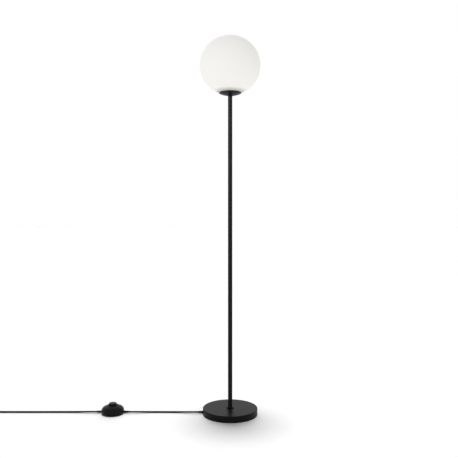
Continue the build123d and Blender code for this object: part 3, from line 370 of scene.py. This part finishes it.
finishes = {
    "powderCoat": {
        "colour": (0.0048, 0.0048, 0.005), "roughness": 0.38,
        "grain": 1100, "bump": 0.000004, "specular": 0.07, "dust": 0.004,
    },
    "cordSheath": {
        "colour": (0.0045, 0.0045, 0.005), "roughness": 0.42,
        "grain": 1500, "bump": 0.000004, "specular": 0.10, "dust": 0.01,
    },
    "moulding": {
        "colour": (0.0045, 0.0045, 0.0048), "roughness": 0.33,
        "grain": 1800, "bump": 0.000005, "specular": 0.09, "dust": 0.01,
    },
    "phenolic": {"colour": (0.018, 0.016, 0.015), "roughness": 0.2, "grain": 600, "bump": 0.00001},
    "castIron": {
        "colour": (0.10, 0.10, 0.105), "roughness": 0.7,
        "grain": 420, "bump": 0.0003, "metallic": 0.6, "mottle": 0.55,
    },
    "blackRubber": {
        "colour": (0.022, 0.022, 0.022), "roughness": 0.8,
        "grain": 500, "bump": 0.0001, "specular": 0.3,
    },
    "silicone": {"colour": (0.66, 0.66, 0.64), "roughness": 0.45, "grain": 300, "bump": 0.00002},
    "zincPlate": {
        "colour": (0.60, 0.60, 0.57), "roughness": 0.32,
        "grain": 700, "bump": 0.00002, "metallic": 1.0, "mottle": 0.85,
    },
    "springSteel": {
        "colour": (0.52, 0.52, 0.52), "roughness": 0.25,
        "grain": 900, "bump": 0.00001, "metallic": 1.0, "mottle": 0.9,
    },
    "turnedBrass": {
        "colour": (0.70, 0.52, 0.24), "roughness": 0.28,
        "grain": 800, "bump": 0.00001, "metallic": 1.0, "mottle": 0.85,
    },
    "nickelPlate": {
        "colour": (0.72, 0.70, 0.66), "roughness": 0.18,
        "grain": 800, "bump": 0.000008, "metallic": 1.0, "mottle": 0.9,
    },
    "whitePlastic": {
        "colour": (0.78, 0.78, 0.76), "roughness": 0.42,
        "grain": 1400, "bump": 0.00001, "mottle": 0.96,
    },
    "lampOpal": {
        "colour": (0.86, 0.86, 0.83), "roughness": 0.35,
        "grain": 500, "bump": 0.000008, "mottle": 0.98,
    },
    "blockMoulding": {
        "colour": (0.05, 0.05, 0.055), "roughness": 0.45,
        "grain": 1200, "bump": 0.00002,
    },
    "strap": {
        "colour": (0.02, 0.02, 0.021), "roughness": 0.75,
        "grain": 2600, "bump": 0.0002, "specular": 0.3,
    },
}
materials = {name: coatedMaterial(name, finish) for name, finish in finishes.items()}

opal = {
    "colour": (0.908, 0.898, 0.868),
    "cloud": (0.890, 0.878, 0.844),
    "foot": (0.47, 0.47, 0.43),   # painted shade at the glass's foot: grey just above the dish, where the dish shadows the glass
    "seatShadeHeights": (1.3235, 1.337),
    "roughness": 0.38,
    "specular": 0.25,
    "cloudScale": 9.0,
    "skinScale": 260.0,
    "skinDepth": 0.00002,
    "skinStrength": 0.3,
}
cores = {
    "brown": (0.13, 0.05, 0.022, 1),
    "blue": (0.03, 0.09, 0.35, 1),
    "switchFrom": -0.3,    # cores to the left of this are in the foot switch
    "roughness": 0.4,
}


def opalGlass():
    # white glass with an etched skin: slightly warm, faintly cloudy, with painted shade greying its foot just above
    # the dish
    material, tree, shader, place = startMaterial("opalGlass")
    cloud = noiseNode(tree, place, opal["cloudScale"])
    colour = mixColour(tree, cloud, (*opal["colour"], 1), (*opal["cloud"], 1))
    split = tree.nodes.new("ShaderNodeSeparateXYZ")
    tree.links.new(place, split.inputs[0])
    # painted shade: the colour darkens towards the dish rim, standing in for the dish's shadow on the glass
    rise = tree.nodes.new("ShaderNodeMapRange")
    rise.interpolation_type = "SMOOTHSTEP"
    rise.inputs["From Min"].default_value, rise.inputs["From Max"].default_value = opal["seatShadeHeights"]
    tree.links.new(split.outputs["Z"], rise.inputs["Value"])
    colour = mixColour(tree, rise.outputs["Result"], (*opal["foot"], 1), colour)
    tree.links.new(colour, shader.inputs["Base Color"])
    skin = noiseNode(tree, place, opal["skinScale"], 2.0)
    bumpInto(tree, shader, skin, opal["skinDepth"], opal["skinStrength"])
    shader.inputs["Roughness"].default_value = opal["roughness"]
    shader.inputs["Specular IOR Level"].default_value = opal["specular"]
    return material


def coreInsulation():
    # one core is brown and the other blue, each side of the pole's or switch's middle line
    material, tree, shader, place = startMaterial("coreInsulation")
    split = tree.nodes.new("ShaderNodeSeparateXYZ")
    tree.links.new(place, split.inputs[0])
    inSwitch = mathNode(tree, "LESS_THAN", split.outputs["X"], cores["switchFrom"])
    behind = mathNode(tree, "GREATER_THAN", split.outputs["Y"], 0.0)
    bySwitch = mathNode(tree, "MULTIPLY", inSwitch, behind)
    inPole = mathNode(tree, "SUBTRACT", 1.0, inSwitch)
    toRight = mathNode(tree, "GREATER_THAN", split.outputs["X"], 0.0)
    byPole = mathNode(tree, "MULTIPLY", inPole, toRight)
    side = mathNode(tree, "ADD", bySwitch, byPole, clamp=True)
    colour = mixColour(tree, side, cores["brown"], cores["blue"])
    tree.links.new(colour, shader.inputs["Base Color"])
    shader.inputs["Roughness"].default_value = cores["roughness"]
    return material


materials["opalGlass"] = opalGlass()
materials["coreInsulation"] = coreInsulation()
print("materials made")


# finishes for the pieces that come as they are
finishOf = {
    "powderCoat": ["base_cover", "foot_collar", "pole_lower", "pole_middle", "pole_upper", "globe_dish"],
    "cordSheath": ["inner_lead", "switch_lead_ends"],
    "moulding": [
        "base_bushing", "switch_cover", "switch_tray", "switch_button", "switch_sleeves", "plug_body", "pin_sleeves",
    ],
    "phenolic": ["lampholder_cap", "lampholder_skirt", "lamp_tip"],
    "castIron": ["base_weight"],
    "blackRubber": ["base_pad", "switch_pad"],
    "silicone": ["globe_gasket"],
    "zincPlate": [
        "base_clamp_screws", "base_lead_clamp", "base_nut", "base_stud", "base_washer", "lower_coupler",
        "upper_coupler", "top_stud", "ring_nut", "switch_clamp_screws", "switch_lead_clamps", "switch_screws",
    ],
    "springSteel": ["globe_spring"],
    "turnedBrass": ["centre_contact", "lampholder_terminals"],
    "nickelPlate": ["lamp_cap", "plug_pins", "screw_shell"],
    "whitePlastic": ["lamp_housing", "lampholder_insulator"],
    "lampOpal": ["lamp_diffuser"],
    "blockMoulding": ["switch_block"],
    "strap": ["coil_tie"],
    "coreInsulation": ["lead_cores", "switch_cores"],
}
for finishName, nodeNames in finishOf.items():
    for nodeName in nodeNames:
        data = nodes[nodeName].data
        data.materials.clear()
        data.materials.append(materials[finishName])
print("finishes given to", sum(len(names) for names in finishOf.values()), "pieces")


globe = {
    "width": 0.250,
    "squash": 0.009,
    "wall": 0.003,
    "footRadius": 0.0427,
    "openingRadius": 0.0385,
    "footChamfer": 0.0003,
    "steps": 64,           # along the outline, foot to crown
    "turns": 144,
    "pole": 0.00001,       # nearer to the axis than this is the pole
    "sharpAngle": 40,      # degrees, keeps the foot's edges crisp
}


def globeOutline(centre, inset, footRadius):
    # side arc, then a wider arc over the crown and under the foot, from the foot up
    half = globe["width"] / 2
    halfHeight = (globe["width"] - globe["squash"]) / 2
    side = halfHeight ** 2 / half
    offset = half - side
    crown = (offset ** 2 + halfHeight ** 2 - side ** 2) / (2 * (halfHeight - side))
    join = math.acos(offset / (crown - side))
    foot = math.acos(footRadius / (crown - inset))
    points = []
    for step in range(globe["steps"] + 1):
        angle = -foot + (foot + math.pi / 2) * step / globe["steps"]
        if abs(angle) <= join:
            x = offset + (side - inset) * math.cos(angle)
            z = centre + (side - inset) * math.sin(angle)
        else:
            drop = math.copysign(crown - halfHeight, angle)
            x = (crown - inset) * math.cos(angle)
            z = centre - drop + (crown - inset) * math.sin(angle)
        points.append((max(x, 0), 0, z))
    return points


def makeGlobe():
    low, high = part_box("glass_globe")
    centre = high[2] - (globe["width"] - globe["squash"]) / 2
    outer = globeOutline(centre, 0, globe["footRadius"])
    inner = globeOutline(centre, globe["wall"], globe["openingRadius"])
    chamfer = globe["footChamfer"]
    foot = [
        (globe["openingRadius"], 0, low[2] + chamfer),
        (globe["openingRadius"] + chamfer, 0, low[2]),
        (globe["footRadius"] - chamfer, 0, low[2]),
    ]
    outline = list(reversed(inner)) + foot + outer
    # rings round the upright axis, one point at each pole, always made in the same order
    mesh = bmesh.new()
    steps = range(globe["turns"])
    angles = [2 * math.pi * step / len(steps) for step in steps]
    ways = [(math.cos(angle), math.sin(angle)) for angle in angles]
    rings = []
    for x, _, z in outline:
        if x < globe["pole"]:
            rings.append([mesh.verts.new((0, 0, z))])
        else:
            rings.append([mesh.verts.new((x * along, x * across, z)) for along, across in ways])
    for ring, following in zip(rings, rings[1:]):
        for step in steps:
            ahead = (step + 1) % len(steps)
            corners = [ring[step % len(ring)], ring[ahead % len(ring)]]
            corners += [following[ahead % len(following)], following[step % len(following)]]
            mesh.faces.new(list(dict.fromkeys(corners)))
    bmesh.ops.recalc_face_normals(mesh, faces=mesh.faces)
    for face in mesh.faces:
        face.smooth = True
    data = bpy.data.meshes.new("opalGlobe")
    mesh.to_mesh(data)
    mesh.free()
    data.set_sharp_from_angle(angle=math.radians(globe["sharpAngle"]))
    data.materials.append(materials["opalGlass"])
    piece = bpy.data.objects.new("opalGlobe", data)
    bpy.context.scene.collection.objects.link(piece)
    return piece


opalGlobe = makeGlobe()
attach(opalGlobe, "globe")
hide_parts("glass_globe")
print("globe blown")

lead = {"diameter": 0.007, "segments": 10, "roundness": 4}


def leadCurve(name, points):
    curve = bpy.data.curves.new(name, "CURVE")
    curve.dimensions = "3D"
    curve.resolution_u = lead["segments"]
    curve.bevel_depth = lead["diameter"] / 2
    curve.bevel_resolution = lead["roundness"]
    curve.use_fill_caps = True
    spline = curve.splines.new("NURBS")
    spline.points.add(len(points) - 1)
    for place, point in zip(spline.points, points):
        place.co = (*point, 1)
    spline.order_u = 3
    spline.use_endpoint_u = True
    curve.materials.append(materials["cordSheath"])
    piece = bpy.data.objects.new(name, curve)
    bpy.context.scene.collection.objects.link(piece)
    return piece


toSwitch = {
    "exit": (-0.1325, 0, 0.007),
    "length": 0.295,
    "route": [
        (-0.1245, 0, 0.007),
        (-0.1575, 0, 0.007),
        (-0.2155, 0.0105, 0.0036),
        (-0.33565, 0.0106, 0.0035),
        (-0.39365, 0, 0.007),
        (-0.41865, 0, 0.007),
    ],
}
leadToSwitch = leadCurve("leadToSwitch", toSwitch["route"])

coil = {
    "x": -1.032,
    "lane": 0.0045,        # where the lead comes in
    "radius": 0.0385,
    "pitch": 0.0076,
    "turnsIn": 1.75,       # on the floor, winding inwards
    "turnsOut": 2.0,       # on top of them, winding outwards
    "dip": 0.0019,
    "low": 0.0046,
    "leg": 0.0075,
    "pointsPerTurn": 16,
}


def coilPoints():
    inner = coil["radius"] - coil["pitch"] * (coil["turnsIn"] + coil["turnsOut"]) / 4
    outer = inner + coil["pitch"] * coil["turnsIn"]
    middle = coil["lane"] + outer
    total = coil["turnsIn"] + 0.5 + coil["turnsOut"]
    count = int(total * coil["pointsPerTurn"])
    points = []
    for step in range(count + 1):
        turns = total * step / count
        radius = outer - coil["pitch"] * turns
        height = coil["low"]
        if turns > coil["turnsIn"]:
            share = min(1, (turns - coil["turnsIn"]) * 2)
            radius = inner - coil["dip"] * math.sin(math.pi * share)
            height += coil["pitch"] * share * share * (3 - 2 * share)
        if turns > coil["turnsIn"] + 0.5:
            radius = inner + coil["pitch"] * (turns - coil["turnsIn"] - 0.5)
        angle = -math.pi / 2 - 2 * math.pi * turns
        points.append((coil["x"] + radius * math.cos(angle), middle + radius * math.sin(angle), height))
    return points


toPlug = {
    "exit": (-0.55135, 0, 0.007),
    "length": 1.553,
    "fromSwitch": [
        (-0.55135, 0, 0.007),
        (-0.57635, 0, 0.007),
        (-0.63435, 0.008, 0.0036),
        (-0.975, 0.0046, 0.0035),
        (-1.003, 0.0045, 0.0046),
    ],
    "tailHigh": [0.018],           # on from the coil, still on top of it
    "tailLow": [0.042, 0.060],     # then down at the plug's height
    "plugHeight": 0.00685,
}


def leadToPlugRoute():
    turns = coilPoints()
    x, y, high = turns[-1]
    y += coil["leg"]
    tail = [(x, y + ahead, high) for ahead in toPlug["tailHigh"]]
    tail += [(x, y + ahead, toPlug["plugHeight"]) for ahead in toPlug["tailLow"]]
    return toPlug["fromSwitch"] + turns + tail


leadToPlug = leadCurve("leadToPlug", leadToPlugRoute())

# rows of moulded ribs: where the first and last stand, and how they are scaled from one rib
sleeveRibs = {
    "rib": "ring", "count": 6, "firstScale": (1, 0.00505, 0.00505), "lastScale": (1, 0.00430, 0.00430),
}
ribRows = {
    "baseReliefRibs": {**sleeveRibs, "first": (-0.1155, 0, 0.007), "last": (-0.1300, 0, 0.007)},
    "switchRightRibs": {**sleeveRibs, "first": (-0.43560, 0, 0.007), "last": (-0.42110, 0, 0.007)},
    "switchLeftRibs": {**sleeveRibs, "first": (-0.53440, 0, 0.007), "last": (-0.54890, 0, 0.007)},
    "plugGripRibs": {
        "rib": "bar", "count": 6, "firstScale": (0.0085, 1, 1), "lastScale": (0.0125, 1, 1),
        "first": (-1.07858, 0.1625, 0.01347), "last": (-1.07858, 0.1765, 0.01364),
    },
}
ribShape = {
    "ringWidth": 0.0012,   # along the lead
    "ringInner": 0.92,     # of the sleeve's radius
    "ringOuter": 1.06,
    "ringSides": 40,
    "barWidth": 0.0013,
    "barSink": 0.0004,
    "barRise": 0.0005,
    "barSlant": 0.9,       # the crest's length against the foot's
    "sharpAngle": 50,
}


def makeRibTree():
    tree = bpy.data.node_groups.new("ribRow", "GeometryNodeTree")
    face = tree.interface
    face.new_socket("Rib", in_out="INPUT", socket_type="NodeSocketGeometry")
    face.new_socket("Count", in_out="INPUT", socket_type="NodeSocketInt")
    for label in ("First", "Last", "First Scale", "Last Scale"):
        face.new_socket(label, in_out="INPUT", socket_type="NodeSocketVector")
    face.new_socket("Material", in_out="INPUT", socket_type="NodeSocketMaterial")
    face.new_socket("Ribs", in_out="OUTPUT", socket_type="NodeSocketGeometry")
    given = tree.nodes.new("NodeGroupInput")
    result = tree.nodes.new("NodeGroupOutput")
    line = tree.nodes.new("GeometryNodeMeshLine")
    line.mode = "END_POINTS"
    tree.links.new(given.outputs["Count"], line.inputs["Count"])
    tree.links.new(given.outputs["First"], line.inputs["Start Location"])
    tree.links.new(given.outputs["Last"], line.inputs["Offset"])
    place = tree.nodes.new("GeometryNodeInputIndex")
    steps = tree.nodes.new("ShaderNodeMath")
    steps.operation = "SUBTRACT"
    steps.inputs[1].default_value = 1
    tree.links.new(given.outputs["Count"], steps.inputs[0])
    share = tree.nodes.new("ShaderNodeMath")
    share.operation = "DIVIDE"
    tree.links.new(place.outputs[0], share.inputs[0])
    tree.links.new(steps.outputs[0], share.inputs[1])
    scale = tree.nodes.new("ShaderNodeMix")
    scale.data_type = "VECTOR"
    tree.links.new(share.outputs[0], scale.inputs[0])
    tree.links.new(given.outputs["First Scale"], scale.inputs[4])
    tree.links.new(given.outputs["Last Scale"], scale.inputs[5])
    copies = tree.nodes.new("GeometryNodeInstanceOnPoints")
    tree.links.new(line.outputs["Mesh"], copies.inputs["Points"])
    tree.links.new(given.outputs["Rib"], copies.inputs["Instance"])
    tree.links.new(scale.outputs[1], copies.inputs["Scale"])
    real = tree.nodes.new("GeometryNodeRealizeInstances")
    tree.links.new(copies.outputs["Instances"], real.inputs["Geometry"])
    coat = tree.nodes.new("GeometryNodeSetMaterial")
    tree.links.new(real.outputs["Geometry"], coat.inputs["Geometry"])
    tree.links.new(given.outputs["Material"], coat.inputs["Material"])
    tree.links.new(coat.outputs["Geometry"], result.inputs["Ribs"])
    return tree


def ringRib():
    # closed ring round the x axis, of radius 1, with a rounded crest
    half = ribShape["ringWidth"] / 2
    inner, outer = ribShape["ringInner"], ribShape["ringOuter"]
    crest = outer - (outer - inner) / 4
    section = [
        (-half, inner), (-half, crest), (-half / 2, outer), (half / 2, outer), (half, crest), (half, inner),
    ]
    mesh = bmesh.new()
    rows = []
    for side in range(ribShape["ringSides"]):
        angle = 2 * math.pi * side / ribShape["ringSides"]
        across, up = math.cos(angle), math.sin(angle)
        rows.append([mesh.verts.new((x, radius * across, radius * up)) for x, radius in section])
    for row, following in zip(rows, rows[1:] + rows[:1]):
        for index in range(len(section)):
            ahead = (index + 1) % len(section)
            mesh.faces.new((row[index], row[ahead], following[ahead], following[index]))
    return mesh


def barRib():
    # straight bar across the plug, of half length 1, round on top and with slanting ends
    half = ribShape["barWidth"] / 2
    sink, rise, slant = ribShape["barSink"], ribShape["barRise"], ribShape["barSlant"]
    section = [(-half, -sink), (half, -sink), (half, 0), (half / 2, rise), (-half / 2, rise), (-half, 0)]
    mesh = bmesh.new()
    ends = []
    for way in (-1, 1):
        ends.append([mesh.verts.new((way * (slant if z > 0 else 1), y, z)) for y, z in section])
    for index in range(len(section)):
        ahead = (index + 1) % len(section)
        mesh.faces.new((ends[0][index], ends[0][ahead], ends[1][ahead], ends[1][index]))
    mesh.faces.new(ends[0])
    mesh.faces.new(ends[1])
    return mesh


def makePlain(piece, tree, values):
    # sets the tree's named inputs, then keeps only the plain mesh that it makes
    modifier = piece.modifiers.new("made", "NODES")
    modifier.node_group = tree
    for socket in tree.interface.items_tree:
        if socket.in_out == "INPUT" and socket.name in values:
            modifier[socket.identifier] = values[socket.name]
    plain = bpy.data.meshes.new_from_object(piece.evaluated_get(bpy.context.evaluated_depsgraph_get()))
    piece.modifiers.clear()
    piece.data = plain


ribTree = makeRibTree()
ribMakers = {"ring": ringRib, "bar": barRib}


def makeRibRow(name, row):
    rib = ribMakers[row["rib"]]()
    bmesh.ops.recalc_face_normals(rib, faces=rib.faces)
    single = bpy.data.meshes.new(name + "Single")
    rib.to_mesh(single)
    rib.free()
    piece = bpy.data.objects.new(name, single)
    bpy.context.scene.collection.objects.link(piece)
    values = {
        "Count": row["count"],
        "First": row["first"],
        "Last": row["last"],
        "First Scale": row["firstScale"],
        "Last Scale": row["lastScale"],
        "Material": materials["moulding"],
    }
    makePlain(piece, ribTree, values)
    piece.data.set_sharp_from_angle(angle=math.radians(ribShape["sharpAngle"]))
    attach(piece, "stand")
    return piece


ribPieces = {name: makeRibRow(name, row) for name, row in ribRows.items()}
print("ribs moulded:", ", ".join(ribPieces))

# the foot switch's return spring, squashed as the button goes down
returnSpring = {
    "turns": 5,
    "radius": 0.0095,
    "wire": 0.0012,
    "stepsPerTurn": 28,
    "wireSides": 10,
    "buttonTravel": 0.0035,
}


def makeSpringTree():
    tree = bpy.data.node_groups.new("wireSpring", "GeometryNodeTree")
    face = tree.interface
    face.new_socket("Geometry", in_out="INPUT", socket_type="NodeSocketGeometry")
    for label in ("Turns", "Radius", "Height", "Wire Radius"):
        face.new_socket(label, in_out="INPUT", socket_type="NodeSocketFloat")
    for label in ("Steps Per Turn", "Wire Sides"):
        face.new_socket(label, in_out="INPUT", socket_type="NodeSocketInt")
    face.new_socket("Foot", in_out="INPUT", socket_type="NodeSocketVector")
    face.new_socket("Material", in_out="INPUT", socket_type="NodeSocketMaterial")
    face.new_socket("Spring", in_out="OUTPUT", socket_type="NodeSocketGeometry")
    given = tree.nodes.new("NodeGroupInput")
    result = tree.nodes.new("NodeGroupOutput")
    helix = tree.nodes.new("GeometryNodeCurveSpiral")
    helixFrom = {
        "Resolution": "Steps Per Turn",
        "Rotations": "Turns",
        "Start Radius": "Radius",
        "End Radius": "Radius",
        "Height": "Height",
    }
    for socket, label in helixFrom.items():
        tree.links.new(given.outputs[label], helix.inputs[socket])
    section = tree.nodes.new("GeometryNodeCurvePrimitiveCircle")
    tree.links.new(given.outputs["Wire Sides"], section.inputs["Resolution"])
    tree.links.new(given.outputs["Wire Radius"], section.inputs["Radius"])
    wire = tree.nodes.new("GeometryNodeCurveToMesh")
    wire.inputs["Fill Caps"].default_value = True
    tree.links.new(helix.outputs[0], wire.inputs["Curve"])
    tree.links.new(section.outputs["Curve"], wire.inputs["Profile Curve"])
    stand = tree.nodes.new("GeometryNodeTransform")
    tree.links.new(wire.outputs[0], stand.inputs["Geometry"])
    tree.links.new(given.outputs["Foot"], stand.inputs["Translation"])
    real = tree.nodes.new("GeometryNodeRealizeInstances")
    tree.links.new(stand.outputs[0], real.inputs["Geometry"])
    coat = tree.nodes.new("GeometryNodeSetMaterial")
    tree.links.new(real.outputs[0], coat.inputs["Geometry"])
    tree.links.new(given.outputs["Material"], coat.inputs["Material"])
    tree.links.new(coat.outputs[0], result.inputs["Spring"])
    return tree


def makeReturnSpring():
    low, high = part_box("switch_spring")
    wire = returnSpring["wire"] / 2
    piece = bpy.data.objects.new("returnSpring", bpy.data.meshes.new("returnSpringStart"))
    bpy.context.scene.collection.objects.link(piece)
    values = {
        "Turns": float(returnSpring["turns"]),
        "Radius": returnSpring["radius"],
        "Height": high[2] - low[2] - 2 * wire,
        "Wire Radius": wire,
        "Steps Per Turn": returnSpring["stepsPerTurn"],
        "Wire Sides": returnSpring["wireSides"],
        "Foot": ((low[0] + high[0]) / 2, (low[1] + high[1]) / 2, low[2] + wire),
        "Material": materials["springSteel"],
    }
    makePlain(piece, makeSpringTree(), values)
    piece.data.shade_smooth()
    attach(piece, "stand")
    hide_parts("switch_spring")
    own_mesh(piece)
    return piece


springPiece = makeReturnSpring()
print("return spring wound")

# the pieces that each stretch of lead carries, and the solids that it stands for
stretches = (
    (leadToSwitch, ["lead_to_switch"]),
    (leadToPlug, ["lead_to_coil", "lead_coil", "lead_tail"]),
)
for piece, replaced in stretches:
    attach(piece, "stand")
    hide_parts(*replaced)
print("lead laid")
